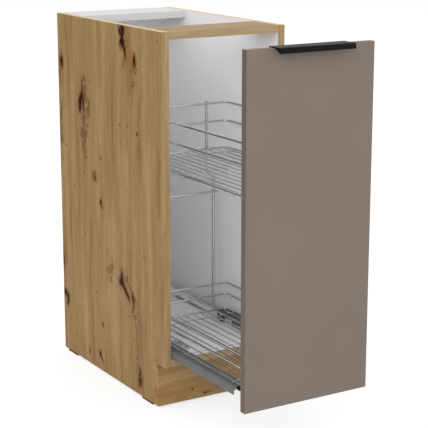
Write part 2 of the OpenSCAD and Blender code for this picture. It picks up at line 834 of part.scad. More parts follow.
// Brackets that join the baskets and carriers to the front panel
brace_rise = 6;
brace_top = high_z + high_top + brace_rise;
slot_h = 10;
brace_screw_d = 4;
brace_screw_in = 11;
brace_screw_under = 60;
// Screws between the rims of each basket, and two on the free length between the baskets
brace_screw_z = [
    low_z + low_mid / 2, (low_z + high_z) / 2, high_z - brace_screw_under, high_z + (high_mid + high_top) / 2
];
module brace_screw_places() {
    for (z = brace_screw_z) translate([-brace_x, brace_back, z]) rotate([-90, 0, 0]) children();
}
slot_play = 0.4;
module slot_cut() {
    w = brace_screw_d + slot_play;
    for (s = [-1, 1]) translate([0, s * slot_h / 2, 0]) drill(w, brace_t + 1, 1);
    translate([-w / 2, -slot_h / 2, -brace_t - 1]) cube([w, slot_h, brace_t + 2]);
}
module bracket() {
    foot_end = carrier_y0 + foot_lap;
    x0 = -brace_x - brace_w / 2;
    difference() {
        plate_x(x0, brace_w) polygon([
            [front_back, carrier_top], [foot_end, carrier_top], [foot_end, carrier_top + foot_t],
            [brace_back, carrier_top + foot_t], [brace_back, brace_top], [front_back, brace_top]
        ]);
        brace_screw_places() slot_cut();
        carrier_screw_places() drill(rivet_d, foot_t + 1, 1);
    }
}
module bracket_left() { color(steel) moved(1) bracket(); }
module bracket_right() { color(steel) moved(1) right_hand() bracket(); }
module bracket_screws() {
    color(steel) moved(1) both_hands() {
        brace_screw_places() pan_screw(brace_screw_d, brace_t + brace_screw_in);
    }
}
module carrier_screws() {
    color(steel) moved(1) both_hands() carrier_screw_places() {
        cylinder(d = rivet_head_d, h = rivet_head_h);
        drill(rivet_d, foot_t + carrier_t, 0);
    }
}

// Front panel with its bumpers and edge pull
front_w = cab_w - 2 * front_reveal;
bumper_d = 9;
bumper_z = [front_bottom + 28, front_top - 26];
grip_screw_d = 3;
grip_screw_in = 10;
grip_head_d = 6;
grip_head_h = 1;
grip_screw_x = grip_l / 2 - grip_leg_h;
module grip_screw_places() {
    for (s = [-1, 1]) {
        translate([s * grip_screw_x, front_back + grip_leg_t, front_top - grip_leg_h / 2]) {
            rotate([-90, 0, 0]) children();
        }
    }
}
module front_panel() {
    color(taupe) moved(1) difference() {
        block(-front_w / 2, front_w / 2, front_back - front_t, front_back, front_bottom, front_top);
        both_hands() brace_screw_places() drill(brace_screw_d, brace_t + brace_screw_in, 0);
        grip_screw_places() drill(grip_screw_d, grip_leg_t + grip_screw_in, 0);
    }
}
module front_bumpers() {
    color(grey) moved(1) both_hands() for (z = bumper_z) {
        rod_y(-cab_w / 2 + board_t / 2, front_back, front_back + bumper_t, z, bumper_d);
    }
}

// Section of the edge pull in Y and Z
lip_y = front_back - front_t - grip_reach;
lip_z = front_top - grip_drop;
lip_in = [lip_y + lip_t, lip_z];
lip_up = [front_back - front_t, front_top];
lip_chord = norm(lip_up - lip_in);
lip_dir = (lip_up - lip_in) / lip_chord;
lip_bow = sqrt(grip_r * grip_r - lip_chord * lip_chord / 4);
grip_centre = (lip_up + lip_in) / 2 + [lip_dir[1], -lip_dir[0]] * lip_bow;
module handle_section() {
    translate([front_back, front_top - grip_leg_h]) square([grip_leg_t, grip_leg_h + grip_t]);
    translate([front_back - front_t, front_top]) square([front_t + eps, grip_t]);
    difference() {
        union() {
            translate([lip_y, lip_z]) square([grip_reach + eps, grip_drop + grip_t - nose_r]);
            translate([lip_y + nose_r, lip_z]) square([grip_reach - nose_r + eps, grip_drop + grip_t]);
            translate([lip_y + nose_r, front_top + grip_t - nose_r]) circle(r = nose_r);
        }
        translate(grip_centre) circle(r = grip_r, $fn = 96);
    }
}
module handle() {
    color(black) moved(1) difference() {
        plate_x(-grip_l / 2, grip_l) handle_section();
        grip_screw_places() {
            drill(grip_screw_d, grip_leg_t + 1, 1);
            drill(grip_head_d, grip_head_h, 1);
        }
    }
}
module handle_screws() {
    color(steel) moved(1) grip_screw_places() {
        drill(grip_head_d, grip_head_h, 0);
        drill(grip_screw_d, grip_leg_t + grip_screw_in, 0);
    }
}

side_left();
side_right();
bottom_panel();
back_panel();
top_rail_front();
top_rail_rear();
plinth();
edge_bands();
glides();
dowels();
cam_locks();
cam_bolts();
back_nails();
plinth_angles();
plinth_screws();
slide_seats_left();
slide_seats_right();
seat_screws();
damper_housing();
slide_outer_left();
slide_outer_right();
cage_outer_left();
cage_outer_right();
slide_middle_left();
slide_middle_right();
cage_inner_left();
cage_inner_right();
slide_inner_left();
slide_inner_right();
slide_caps();
carrier_left();
carrier_right();
damper_catch();
roller_pins();
roller_left();
roller_right();
lower_floor();
lower_base_rim();
lower_middle_rim();
lower_top_rim();
upper_floor();
upper_base_rim();
upper_middle_rim();
upper_top_rim();
rear_upright_left();
rear_upright_right();
rear_crossbar();
bracket_left();
bracket_right();
bracket_screws();
carrier_screws();
front_panel();
front_bumpers();
handle();
handle_screws();
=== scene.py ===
# Narrow base cabinet with a pull-out front and two wire baskets, dressed on its CAD frame
import math

import bmesh
import bpy
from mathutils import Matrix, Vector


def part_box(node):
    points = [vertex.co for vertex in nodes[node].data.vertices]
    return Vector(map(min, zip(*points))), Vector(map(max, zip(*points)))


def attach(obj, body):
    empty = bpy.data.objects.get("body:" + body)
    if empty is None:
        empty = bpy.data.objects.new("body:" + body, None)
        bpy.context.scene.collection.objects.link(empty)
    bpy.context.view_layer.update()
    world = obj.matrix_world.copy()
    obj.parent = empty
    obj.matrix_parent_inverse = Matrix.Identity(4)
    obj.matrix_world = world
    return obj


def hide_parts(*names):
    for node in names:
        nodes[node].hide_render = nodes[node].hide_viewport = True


mm = 0.001
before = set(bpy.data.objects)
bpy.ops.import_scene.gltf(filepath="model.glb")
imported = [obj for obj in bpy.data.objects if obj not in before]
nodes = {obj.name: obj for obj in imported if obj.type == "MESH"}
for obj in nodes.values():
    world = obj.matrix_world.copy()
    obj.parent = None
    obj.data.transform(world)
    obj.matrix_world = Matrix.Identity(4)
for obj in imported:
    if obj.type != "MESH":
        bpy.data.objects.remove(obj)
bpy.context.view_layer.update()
print("frame: %d nodes" % len(nodes))

# Places that finishes and added pieces share, read from the CAD nodes
sideLow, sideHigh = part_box("side_left")
innerX = -sideHigh[0]
sideRear = sideHigh[1]
sideTop = sideHigh[2]
sideBottom = sideLow[2]
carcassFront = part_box("edge_bands")[0][1]
doorHalf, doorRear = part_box("front_panel")[1][:2]


def toLinear(hexColour):
    values = []
    for i in (1, 3, 5):
        c = int(hexColour[i:i + 2], 16) / 255
        values.append(c / 12.92 if c <= 0.04045 else ((c + 0.055) / 1.055) ** 2.4)
    return (*values, 1.0)


def addNode(mat, kind, sockets=None, out=0, **settings):
    # sockets are filled with values or with other nodes' outputs; the asked-for output comes back
    node = mat.node_tree.nodes.new("ShaderNode" + kind)
    for key, value in settings.items():
        setattr(node, key, value)
    for key, value in (sockets or {}).items():
        if isinstance(value, bpy.types.NodeSocket):
            mat.node_tree.links.new(value, node.inputs[key])
        else:
            node.inputs[key].default_value = value
    return node.outputs[out] if node.outputs else node


def startMaterial(name, surface):
    mat = bpy.data.materials.new(name)
    mat.use_nodes = True
    mat.node_tree.nodes.clear()
    shader = addNode(mat, "BsdfPrincipled", surface)
    addNode(mat, "OutputMaterial", {"Surface": shader})
    return mat, shader.node, addNode(mat, "TexCoord", out="Object")


def finishMaterial(mat, shader, colour, rough=None, relief=None, depth=0.02, strength=0.3):
    # depth is the relief's height in mm
    mat.node_tree.links.new(colour, shader.inputs["Base Color"])
    if rough is not None:
        mat.node_tree.links.new(rough, shader.inputs["Roughness"])
    if relief is not None:
        bump = addNode(mat, "Bump", {"Height": relief, "Distance": depth * mm, "Strength": strength})
        mat.node_tree.links.new(bump, shader.inputs["Normal"])
    return mat


def speckle(mat, place, sizes, low=0.0, high=1.0, depth=1.0, floor=0.0, detail=2.0, roughness=0.5):
    # noise drawn at real sizes in mm along X, Y and Z, that rises from floor to depth between two levels
    scaled = addNode(mat, "Mapping", {"Vector": place, "Scale": [1 / (size * mm) for size in sizes]})
    noise = addNode(mat, "TexNoise", {"Vector": scaled, "Scale": 1.0, "Detail": detail,
                                      "Roughness": roughness})
    return addNode(mat, "MapRange", {0: noise, 1: low, 2: high, 3: floor, 4: depth},
                   interpolation_type="SMOOTHSTEP")


def paint(mat, base, coats):
    # coats lie over the base in turn, each with its mask and a hex colour or another pattern
    shown = toLinear(base) if isinstance(base, str) else base
    for mask, coat in coats:
        coat = toLinear(coat) if isinstance(coat, str) else coat
        shown = addNode(mat, "Mix", {0: mask, 6: shown, 7: coat}, out=2, data_type="RGBA")
    return shown


def along(pair, grain):
    # a pattern's size across and along the grain, as sizes along X, Y and Z
    return [pair[1] if axis == grain else pair[0] for axis in range(3)]


# Oak decor: printed foil on chipboard under a matt lacquer. Warm bands, short fibres, knots with a dark
# heart and a brown ring, burls with pale contour lines, and pores pressed along the grain. The raw beech of
# the dowels is drawn the same way, paler and without knots
sideTones ={"light": "#aa9066", "mid": "#9d8056", "dark": "#8e6b40", "red": "#7d542e"}
# The band and rail tones are lighter, paler copies of the side tones: painted light for the edges and rail
# that face the front
frontLitBandTones = {"light": "#b2986f", "mid": "#a78a61", "dark": "#967349", "red": "#85603a"}
frontLitRailTones = {"light": "#b59d77", "mid": "#a9916a", "dark": "#9c8058", "red": "#8a6a45"}
# The plinth tones are a lighter copy of the oak tones: painted light that lifts the shade under the overhang
shadeLiftPlinthTones = {"light": "#b4966a", "mid": "#a38255", "dark": "#8c683e", "red": "#754927"}
beechTones = {"light": "#d6b68c", "mid": "#cba87b", "dark": "#bd976a", "red": "#b08457"}
knotTones = {"core": "#150b06", "ring": "#4a2713", "halo": "#6f4222", "burl": "#724c2e", "line": "#bb9e72"}
# Pattern sizes in mm, across and along the grain; pores are drawn coarser than the real 0.2 mm to show
grainSizes = {"band": (24, 300), "streak": (7, 110), "fibre": (2.2, 34), "pore": (0.8, 9)}
# Coats of the grain over its dark base: pattern, the noise levels where the coat starts and is full, its
# depth, the noise's detail and roughness, and the tone
grainCoats = [
    ("band", 0.30, 0.48, 1.00, 3.0, 0.55, "mid"), ("band", 0.48, 0.70, 1.00, 3.0, 0.55, "light"),
    ("streak", 0.52, 0.78, 0.50, 4.0, 0.65, "dark"), ("streak", 0.44, 0.22, 0.35, 4.0, 0.65, "light"),
    ("fibre", 0.52, 0.76, 0.55, 3.0, 0.60, "red"), ("fibre", 0.42, 0.26, 0.40, 3.0, 0.60, "light"),
    ("pore", 0.60, 0.72, 0.40, 1.0, 0.50, "red"),
]
# The slow drift that keeps the bands from running dead straight: size and reach in mm
drift = {"size": 160, "reach": 24}
# Rings round a mark: the reach where a ring starts and is full, with the mark's rim at 1, depth and tone
markRings = [
    ("knots", 4.6, 1.3, 0.70, "halo"), ("knots", 2.5, 1.2, 0.88, "ring"), ("knots", 1.3, 0.7, 0.96, "core"),
    ("specks", 1.5, 0.6, 0.85, "ring"),
]
# Noise that frays the outlines of marks, fine on knots and specks and wide on burls: size in mm, and the
# reach, of which a smaller share acts upright
ragged = {"size": 5, "detail": 4.0, "rough": 0.65, "reach": 2.6}
calm = {"size": 26, "detail": 2.0, "rough": 0.65, "reach": 4.4}
uprightShare = 0.75
# Grain pushed aside by a knot, by a share of its half width. Only knots with a half width over widerThan mm
# do it, because Cycles draws a surface black when its material holds too many links at once
knotPush = {"widerThan": 2.9, "share": 0.5, "starts": 3.4, "full": 0.9}
# Burls: the reach where they start and are full, mottle and flecks in mm, and their pale contour lines
burl = {"starts": 1.5, "full": 0.5, "mottle": (5, 16), "fleck": (4, 12), "turns": 8.0, "lineFrom": 0.2,
        "lineDepth": 0.5}
speckShape = (2.0, 2.6, 0)  # half width, half height and tilt

# Matt lacquer over the decor: roughness from smooth to dull, and pores pressed in, in mm
lacquer = {"shine": 0.06, "smooth": 0.46, "dull": 0.56, "poreDeep": 0.05, "poreStrength": 0.4}
# Other faces of the side panels; skin is how many mm a face's finish reaches into the board
sideFaces = {"skin": 0.15, "topBand": "#d9c49b"}
# Bare chipboard where a cut edge has no band: pressed flakes of mixed browns
chip = {"light": "#c3a97c", "dark": "#8d7247", "flake": (2.2, 2.2, 6)}
# White melamine: pressed foil with a fine pearl grit, a soft sheen and no grain. Sizes in mm
# rail is a darker copy of the face tone for the rear rail: painted shade against the light on its top
whiteFace = {"face": "#f7f7f7", "rail": "#d9d9d8", "cloudTone": "#b9b9b6", "cloud": 90, "rough": 0.42,
             "shine": 0.4, "grit": 1.2, "gritDeep": 0.03, "gritStrength": 0.25}
# Hardboard, pressed from raw fibre: brown and felted
hardboard = {"light": "#8a6f4c", "dark": "#6f5536", "fluff": (1.4, 1.4, 3), "skin": 0.2}

# Figure of the left side panel. Knots and burls: depth behind the carcass front, height above the floor,
# half width, half height in mm, tilt in degrees. Specks: depth and height
leftFigure = {
    "knots": [
        (176, 812, 3.2, 7, 0), (184, 805, 2.8, 6, -24), (169, 808, 2.8, 7, 10), (175, 796, 3.2, 9, 0),
        (182, 785, 2.6, 5, 24), (173, 782, 5, 6, 0), (165, 769, 2.2, 10, -16), (121, 749, 3, 6.5, 0),
        (481, 709, 3.6, 7, 0), (378, 641, 3.6, 5, 0), (386, 629, 4.4, 10, 14), (371, 626, 1.8, 9, 0),
        (388, 614, 3.4, 6, 0), (375, 650, 1.4, 8, 0), (113, 593, 1.4, 2, 0), (287, 511, 1.2, 1.8, 0),
        (316, 461, 1.4, 2.6, 0), (291, 409, 2.5, 3.8, 0), (284, 398, 1.1, 2.2, 20), (193, 256, 3.4, 8, 0),
        (195, 246, 5.5, 5, 0), (187, 240, 3, 8, -34), (177, 231, 2.8, 9, -36), (166, 222, 2.4, 7, -36),
        (143, 224, 1.8, 6, -10), (138, 213, 1.8, 7, 0), (500, 226, 4, 12, 0), (498, 147, 5, 5, 0),
        (489, 147, 3.4, 5, -44), (481, 141, 3.2, 6, -30), (476, 134, 3, 7, 0), (479, 125, 2.4, 5, 12),
        (292, 118, 1.8, 2.6, 0), (307, 42, 2.6, 4, 0), (299, 32, 1.4, 5, -34), (363, 34, 1.2, 4.5, 0),
        (112, 36, 3.6, 6, 0), (112, 54, 2, 5, 0),
    ],
    "burls": [
        (364, 584, 17, 40, 4), (370, 548, 17, 30, 0), (366, 520, 11, 22, 0), (364, 662, 18, 32, -8),
        (358, 624, 15, 34, 0), (124, 732, 12, 18, 0), (126, 698, 8, 10, 0), (250, 266, 14, 26, 0),
        (124, 150, 8, 60, 0), (134, 196, 13, 30, 0), (160, 244, 12, 26, -20), (316, 464, 16, 11, 0),
        (490, 560, 9, 60, 0), (490, 690, 9, 34, 0), (112, 48, 9, 26, 0), (164, 756, 8, 30, 10),
    ],
    "specks": [
        (375, 465), (427, 423), (466, 514), (193, 602), (155, 604), (375, 316), (341, 264), (322, 189),
        (430, 60), (158, 175), (38, 108), (88, 330), (22, 800), (300, 318), (137, 128), (121, 191),
        (160, 175), (490, 174),
    ],
}
# Figure of the right side panel, in the same way; the photo doesn't show it
rightFigure = {
    "knots": [
        (96, 690, 3.6, 7, 0), (100, 704, 2, 6, 14), (330, 745, 3, 5, 0), (236, 562, 4.4, 9, 12),
        (244, 546, 2.8, 7, -22), (230, 579, 1.8, 8, 18), (410, 498, 2, 3, 0), (70, 420, 2, 3, 0),
        (300, 322, 3.6, 6, -12), (306, 309, 1.8, 7, -24), (160, 214, 2.2, 9, -28), (440, 190, 3.6, 7, 0),
        (434, 177, 2, 6, 24), (110, 90, 2.6, 4, 8), (340, 66, 2, 3, 0),
    ],
    "burls": [
        (242, 508, 16, 34, -4), (100, 650, 13, 30, 0), (300, 284, 13, 30, 0), (440, 260, 9, 60, 0),
        (160, 400, 10, 50, 0),
    ],
    "specks": [
        (180, 620), (280, 700), (60, 560), (360, 420), (220, 380), (420, 620), (150, 480), (330, 150),
    ],
}
# Figure of the plinth: place left (-) or right of the middle, then as above
plinthFigure = {
    "knots": [(-64, 28, 0.9, 1.1, 0), (2, 22, 1.2, 0.9, 0), (-30, 13, 1.2, 0.8, 0), (84, 50, 1.4, 1, 0)],
    "burls": [(-30, 14, 10, 4, 0), (76, 60, 16, 5, 0)],
    "specks": [(40, 66)],
}


def knotReach(mat, place, wobble, centre, halfSize, tilt, across):
    # the place measured from the knot's middle, and how far out that is, where the knot's rim lies at 1
    scale = [1.0, 1.0, halfSize[1] * mm]
    scale[across] = halfSize[0] * mm
    turn = [0, 0, 0]
    turn[1 - across] = math.radians(tilt)
    mask = [0, 0, 1]
    mask[across] = 1
    local = addNode(mat, "Mapping", {"Vector": place, "Location": centre, "Rotation": turn, "Scale": scale},
                    vector_type="TEXTURE")
    flat = addNode(mat, "VectorMath", {0: local, 1: mask}, operation="MULTIPLY")
    frayed = addNode(mat, "VectorMath", {0: flat, 1: wobble}, operation="ADD")
    return flat, addNode(mat, "VectorMath", {0: frayed}, out="Value", operation="LENGTH")


def frayNoise(mat, place, fray, across):
    noise = addNode(mat, "TexNoise", {"Vector": place, "Scale": 1 / (fray["size"] * mm),
                                      "Detail": fray["detail"], "Roughness": fray["rough"]}, out="Color")
    centred = addNode(mat, "VectorMath", {0: noise, 1: (0.5, 0.5, 0.5)}, operation="SUBTRACT")
    reach = [fray["reach"], fray["reach"], uprightShare * fray["reach"]]
    reach[1 - across] = 0
    return addNode(mat, "VectorMath", {0: centred, 1: reach}, operation="MULTIPLY")


def figureCoats(mat, found, moved, grain):
    # brown burls with pale lines and dark flecks, then the rings of knots and specks
    inBurl = addNode(mat, "MapRange", {0: found["burls"], 1: burl["starts"], 2: burl["full"]},
                     interpolation_type="SMOOTHSTEP")
    mottle = speckle(mat, moved, along(burl["mottle"], grain), 0.32, 0.62, 0.95, 0.45, detail=3.0)
    mottle = addNode(mat, "Math", {0: inBurl, 1: mottle}, operation="MULTIPLY")
    turns = addNode(mat, "Math", {0: found["burls"], 1: burl["turns"]}, operation="MULTIPLY")
    wave = addNode(mat, "Math", {0: turns}, operation="SINE")
    lines = addNode(mat, "MapRange", {0: wave, 1: burl["lineFrom"], 2: 1.0, 3: 0.0, 4: burl["lineDepth"]},
                    interpolation_type="SMOOTHSTEP")
    lines = addNode(mat, "Math", {0: lines, 1: inBurl}, operation="MULTIPLY")
    flecks = speckle(mat, moved, along(burl["fleck"], grain), 0.60, 0.76, 0.6)
    flecks = addNode(mat, "Math", {0: flecks, 1: inBurl}, operation="MULTIPLY")
    coats = [(mottle, knotTones["burl"]), (lines, knotTones["line"]), (flecks, knotTones["ring"])]
    for mark, starts, full, depth, tone in markRings:
        ring = addNode(mat, "MapRange", {0: found[mark], 1: starts, 2: full, 3: 0.0, 4: depth},
                       interpolation_type="SMOOTHSTEP")
        coats.append((ring, knotTones[tone]))
    return coats


def cutFaces(mat, place, colour):
    # the inner face is white, the top edge has a cream band, the rear and lower edges are bare chipboard
    skin = sideFaces["skin"] * mm
    axes = addNode(mat, "SeparateXYZ", {0: place}).node.outputs
    depth = addNode(mat, "Math", {0: axes[0]}, operation="ABSOLUTE")
    inside = addNode(mat, "Math", {0: depth, 1: innerX + skin}, operation="LESS_THAN")
    above = addNode(mat, "Math", {0: axes[2], 1: sideTop - skin}, operation="GREATER_THAN")
    rear = addNode(mat, "Math", {0: axes[1], 1: sideRear - skin}, operation="GREATER_THAN")
    under = addNode(mat, "Math", {0: axes[2], 1: sideBottom + skin}, operation="LESS_THAN")
    bare = addNode(mat, "Math", {0: rear, 1: under}, operation="MAXIMUM")
    flakes = speckle(mat, place, chip["flake"], 0.35, 0.65, detail=4.0, roughness=0.7)
    chipTone = paint(mat, chip["light"], [(flakes, chip["dark"])])
    return paint(mat, colour, [(inside, whiteFace["face"]), (above, sideFaces["topBand"]), (bare, chipTone)])


def woodGrain(name, tones, grain, figure=None, across=1, shift=0.0, cutBoard=False):
    # grain is the axis that the grain follows, across the level axis of the board's face; shift moves the
    # pattern so that no two boards match
    mat, shader, place = startMaterial(name, {"Specular IOR Level": lacquer["shine"]})
    raggedNoise = frayNoise(mat, place, ragged, across)
    calmNoise = frayNoise(mat, place, calm, across)
    slow = addNode(mat, "TexNoise", {"Vector": place, "Scale": 1 / (drift["size"] * mm), "Detail": 2.0},
                   out="Color")
    offset = (shift, shift * 0.7, shift * 0.4)
    slow = addNode(mat, "VectorMath", {0: slow, 1: [drift["reach"] * mm] * 3, 2: offset},
                   operation="MULTIPLY_ADD")
    moved = addNode(mat, "VectorMath", {0: place, 1: slow}, operation="ADD")

    found = {}
    for mark, fray in (("knots", raggedNoise), ("burls", calmNoise), ("specks", raggedNoise)):
        for entry in (figure or {}).get(mark, []):
            level, z, halfWide, halfHigh, tilt = entry + speckShape if mark == "specks" else entry
            centre = [0, 0, z * mm]
            centre[across] = level * mm + (carcassFront if across == 1 else 0)
            local, reach = knotReach(mat, place, fray, centre, (halfWide, halfHigh), tilt, across)
            if mark in found:
                found[mark] = addNode(mat, "Math", {0: found[mark], 1: reach}, operation="MINIMUM")
            else:
                found[mark] = reach
            if mark == "knots" and halfWide > knotPush["widerThan"]:
                # the grain runs round a large knot
                squeeze = [0, 0, 0]
                squeeze[across] = -knotPush["share"] * halfWide * mm
                aside = addNode(mat, "VectorMath", {0: local, 1: squeeze}, operation="MULTIPLY")
                near = addNode(mat, "MapRange", {0: reach, 1: knotPush["starts"], 2: knotPush["full"]},
                               interpolation_type="SMOOTHSTEP")
                push = addNode(mat, "VectorMath", {0: aside, "Scale": near}, operation="SCALE")
                moved = addNode(mat, "VectorMath", {0: moved, 1: push}, operation="ADD")

    size = {pattern: along(pair, grain) for pattern, pair in grainSizes.items()}
    colour = paint(mat, tones["dark"], [
        (speckle(mat, moved, size[pattern], low, high, depth, detail=detail, roughness=rough), tones[tone])
        for pattern, low, high, depth, detail, rough, tone in grainCoats])
    if figure:
        colour = paint(mat, colour, figureCoats(mat, found, moved, grain))
    sheen = speckle(mat, moved, size["fibre"], 0.3, 0.7, lacquer["dull"], lacquer["smooth"])
    pressed = speckle(mat, moved, size["pore"], 0.75, 0.55, detail=1.0)
    if cutBoard:
        colour = cutFaces(mat, place, colour)
    return finishMaterial(mat, shader, colour, sheen, pressed, lacquer["poreDeep"], lacquer["poreStrength"])


def whiteMelamine(name, face, rearBrown=False):
    mat, shader, place = startMaterial(name, {"Roughness": whiteFace["rough"],
                                              "Specular IOR Level": whiteFace["shine"]})
    cloud = speckle(mat, place, [whiteFace["cloud"]] * 3, 0.2, 0.8, 0.05)
    colour = paint(mat, face, [(cloud, whiteFace["cloudTone"])])
    if rearBrown:
        # the back panel is white inside and raw fibre on the outside
        axes = addNode(mat, "SeparateXYZ", {0: place}).node.outputs
        rear = addNode(mat, "Math", {0: axes[1], 1: sideRear - hardboard["skin"] * mm},
                       operation="GREATER_THAN")
        fluff = speckle(mat, place, hardboard["fluff"], 0.2, 0.8, detail=4.0, roughness=0.7)
        fibre = paint(mat, hardboard["light"], [(fluff, hardboard["dark"])])
        colour = paint(mat, colour, [(rear, fibre)])
    grit = speckle(mat, place, [whiteFace["grit"]] * 3)
    return finishMaterial(mat, shader, colour, None, grit, whiteFace["gritDeep"], whiteFace["gritStrength"])


# ABS edge band, printed like the board it is glued to: upright on the sides, level on bottom board and rail,
# in the lighter copies of the oak tones that are painted light for faces turned to the front.
# It shows as fine, soft strokes. Sizes in mm, across and along the grain
bandPrint = {"rough": 0.46, "shine": 0.25, "stroke": (9, 260), "fibre": (2.2, 60)}


def edgeBandPrint():
    mat, shader, place = startMaterial("oakEdgeBand", {"Roughness": bandPrint["rough"],
                                                       "Specular IOR Level": bandPrint["shine"]})
    axes = addNode(mat, "SeparateXYZ", {0: place}).node.outputs
    depth = addNode(mat, "Math", {0: axes[0]}, operation="ABSOLUTE")
    upright = addNode(mat, "Math", {0: depth, 1: innerX}, operation="GREATER_THAN")
    prints = []
    for tones, grain in ((frontLitBandTones, 2), (frontLitRailTones, 0)):
        stroke = speckle(mat, place, along(bandPrint["stroke"], grain), 0.35, 0.65, detail=3.0)
        fibre = speckle(mat, place, along(bandPrint["fibre"], grain), 0.48, 0.72, 0.55)
        prints.append(paint(mat, tones["mid"], [(stroke, tones["light"]), (fibre, tones["red"])]))
    return finishMaterial(mat, shader, paint(mat, prints[1], [(upright, prints[0])]))


# Taupe front: matt laminate on board, even in tone, with a soft-touch grit, side edges drawn darker as
# painted shade, and a white melamine rear that throws light back into the carcass. Sizes in mm
front = {"face": "#80746a", "cloudTone": "#7a6e64", "edge": "#675c53", "rear": "#f0f0ef", "shine": 0.3,
         "dull": 0.58, "smooth": 0.48, "grit": 0.9, "cloud": 140, "edgeSkin": 0.4, "rearSkin": 0.3}


def taupeLaminate():
    mat, shader, place = startMaterial("mattTaupeLaminate", {"Specular IOR Level": front["shine"]})
    axes = addNode(mat, "SeparateXYZ", {0: place}).node.outputs
    depth = addNode(mat, "Math", {0: axes[0]}, operation="ABSOLUTE")
    # the side edges take a darker tone: painted shade on the door's side faces
    edge = addNode(mat, "Math", {0: depth, 1: doorHalf - front["edgeSkin"] * mm}, operation="GREATER_THAN")
    rear = addNode(mat, "Math", {0: axes[1], 1: doorRear - front["rearSkin"] * mm}, operation="GREATER_THAN")
    cloud = speckle(mat, place, [front["cloud"]] * 3, 0.3, 0.7, 0.4)
    colour = paint(mat, front["face"], [(cloud, front["cloudTone"]), (edge, front["edge"]),
                                        (rear, front["rear"])])
    grit = [front["grit"]] * 3
    sheen = speckle(mat, place, grit, 0.3, 0.7, front["dull"], front["smooth"])
    return finishMaterial(mat, shader, colour, sheen, speckle(mat, place, grit))


# Metals and plastics: tone, second tone in clouds of 12 grits, roughness and its spread, grit in mm, how
# metallic they are, the usual shine that a dull coat keeps, and how far the grit is drawn along the runners.
# Chrome mirrors its surroundings a little blurred, and its welds are rougher and drawn near white: a painted
# highlight for the bright dots where wires cross. Zinc plate is duller, rolled runners show faint lengthwise
# lines, powder coats shine softly, and nylon and acetal keep the mould's grain.
# The clear bumpers are drawn pale, without seeing through
surfaces = {
    "brightChromeWire": {"tone": "#c8c9cb", "second": "#bcbdbf", "rough": 0.14, "spread": 0.04, "grit": 2.0,
                         "metallic": 1.0},
    "frostedHighlightWeld": {"tone": "#f2f2f3", "second": "#e6e7e8", "rough": 0.34, "spread": 0.06, "grit": 1.0,
                          "metallic": 0.9},
    "zincPlatedSteel": {"tone": "#b0b2b4", "second": "#969a9e", "rough": 0.32, "spread": 0.08, "grit": 1.6,
                        "metallic": 1.0},
    "rolledSlideSteel": {"tone": "#d6d7d8", "second": "#c9cbcc", "rough": 0.38, "spread": 0.08, "grit": 0.8,
                         "metallic": 0.3, "drawn": 12.0},
    "greyCoatedSteel": {"tone": "#6e6e6e", "second": "#696969", "rough": 0.55, "spread": 0.06, "grit": 0.8,
                        "shine": 0.3},
    "whiteCoatedSlide": {"tone": "#eeeeef", "second": "#e6e7e8", "rough": 0.35, "spread": 0.06, "grit": 0.7},
    "blackPowderCoat": {"tone": "#0f0f10", "second": "#0c0c0d", "rough": 0.50, "spread": 0.06, "grit": 0.5,
                        "shine": 0.12},
    "blackNylon": {"tone": "#101011", "second": "#141415", "rough": 0.55, "spread": 0.06, "grit": 0.7,
                   "shine": 0.1},
    "greyAcetal": {"tone": "#c2c4c5", "second": "#b9bbbc", "rough": 0.40, "spread": 0.06, "grit": 0.7},
    "clearBumper": {"tone": "#c9cac8", "second": "#bfc0be", "rough": 0.30, "spread": 0.05, "grit": 1.0},
}
metalGrit = {"cloud": 12, "deep": 0.02, "strength": 0.2}


def platedOrMoulded(name):
    look = surfaces[name]
    mat, shader, place = startMaterial(name, {"Metallic": look.get("metallic", 0.0),
                                              "Specular IOR Level": look.get("shine", 0.5)})
    grit = [look["grit"], look["grit"] * look.get("drawn", 1.0), look["grit"]]
    cloud = speckle(mat, place, [metalGrit["cloud"] * size for size in grit], 0.3, 0.7, detail=3.0)
    colour = paint(mat, look["tone"], [(cloud, look["second"])])
    dull, smooth = look["rough"] + look["spread"], look["rough"] - look["spread"]
    sheen = speckle(mat, place, grit, 0.3, 0.7, dull, smooth)
    return finishMaterial(mat, shader, colour, sheen, speckle(mat, place, grit), metalGrit["deep"],
                          metalGrit["strength"])


oakLeft = woodGrain("knottyOakLeft", sideTones, 2, leftFigure, cutBoard=True)
oakRight = woodGrain("knottyOakRight", sideTones, 2, rightFigure, shift=0.37, cutBoard=True)
# the rail takes the lighter copy of the oak tones: painted light on a front-facing piece
oakRail = woodGrain("oakRailLevelGrain", frontLitRailTones, 0, shift=0.11)
# the plinth's lighter tones are painted light against the shade under the overhang
oakPlinth = woodGrain("oakPlinthLevelGrain", shadeLiftPlinthTones, 0, plinthFigure, across=0, shift=0.23)
beech = woodGrain("rawBeech", beechTones, 0, shift=0.6)
whiteBoard = whiteMelamine("whiteMelamine", whiteFace["face"])
whiteBack = whiteMelamine("whiteHardboard", whiteFace["face"], rearBrown=True)
# the rear rail's white is drawn darker: painted shade where light falls on its top
shadedWhiteRail = whiteMelamine("shadedWhiteRailMelamine", whiteFace["rail"])
edgeBand = edgeBandPrint()
taupeFront = taupeLaminate()
plated = {name: platedOrMoulded(name) for name in surfaces}
print("finishes: %d materials" % len(bpy.data.materials))


def dress(piece, mat):
    # gives a piece or a CAD node its only material
    piece.data.materials.clear()
    piece.data.materials.append(mat)


